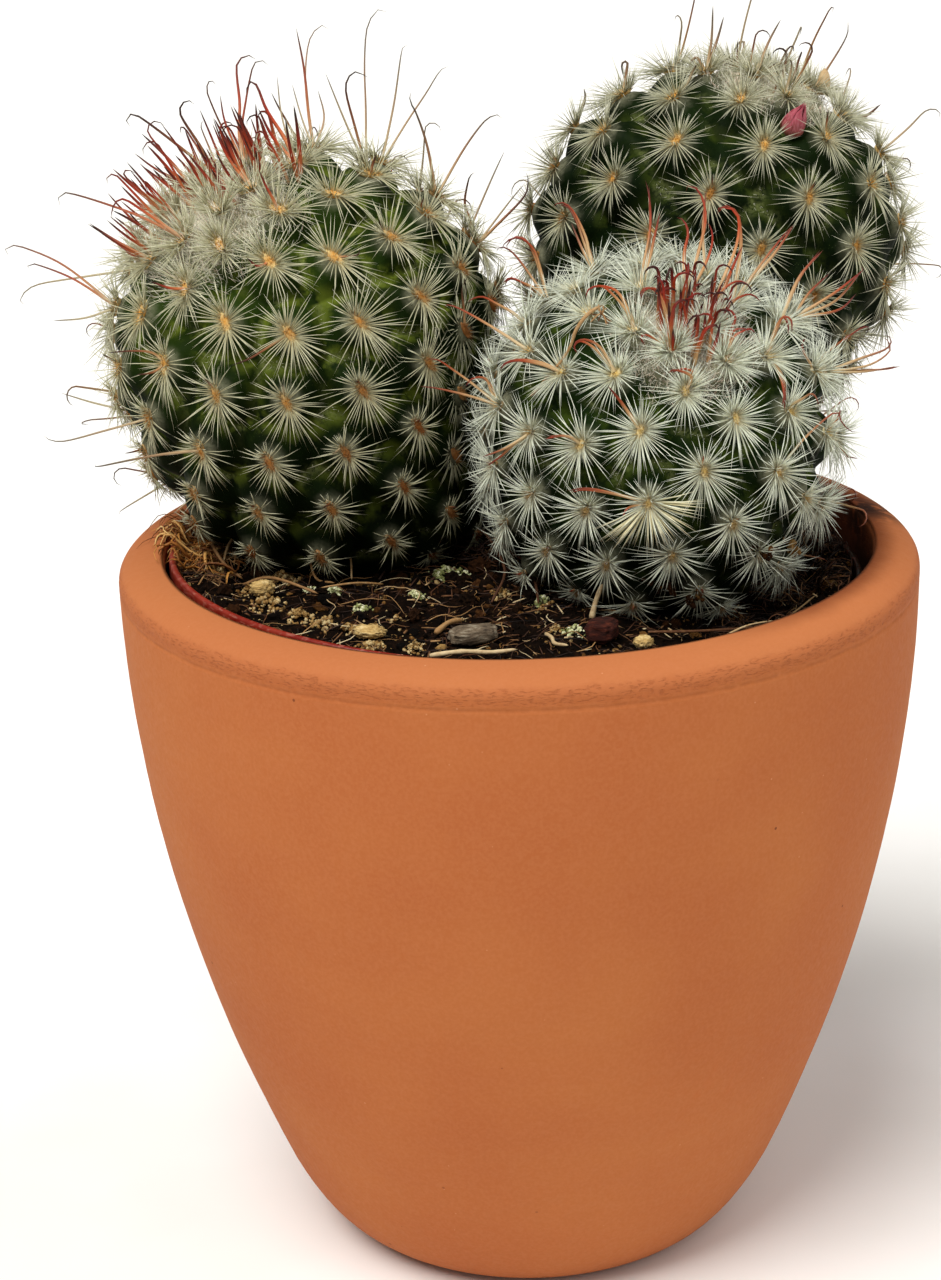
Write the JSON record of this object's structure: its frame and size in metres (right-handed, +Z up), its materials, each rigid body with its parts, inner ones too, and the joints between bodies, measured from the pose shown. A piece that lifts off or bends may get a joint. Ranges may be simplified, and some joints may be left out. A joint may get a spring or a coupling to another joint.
{
  "type": "potted cactus",
  "caption": "Clump of globular hooked-spine cactus heads in potting mix, in a thin nursery pot that stands inside a bowed terracotta cover pot.",
  "frame": {"origin": "centre of the terracotta cover pot's flat base, on the surface that it stands on", "axes": "+Z up, -Y towards the viewer of the picture, +X to the viewer's right"},
  "size_m": [0.1453, 0.1399, 0.1887],
  "materials": {
    "terracotta": "matte fired clay, smooth lip, rough band under it",
    "nursery_plastic": "thin thermoformed plastic, slightly glossy",
    "potting_mix": "loose dark peat mix with grains and fibres",
    "cactus_skin": "waxy green skin with pale scurf and white spines",
    "petal_pink": "soft matte petals",
    "bark_grey": "weathered bark",
    "bark_brown": "dark bark",
    "mineral_grain": "porous pale mineral"
  },
  "bodies": {
    "root": {"cover_pot_terracotta": "terracotta", "nursery_pot": "nursery_plastic", "potting_mix": "potting_mix", "cactus_head_left": "cactus_skin", "cactus_head_front": "cactus_skin", "cactus_head_back": "cactus_skin", "flower_bud": "petal_pink", "bark_chip_grey": "bark_grey", "bark_chip_brown": "bark_brown", "pale_grain_left": "mineral_grain", "pale_grain_middle": "mineral_grain", "pale_grain_right": "mineral_grain"}
  },
  "joints": []
}
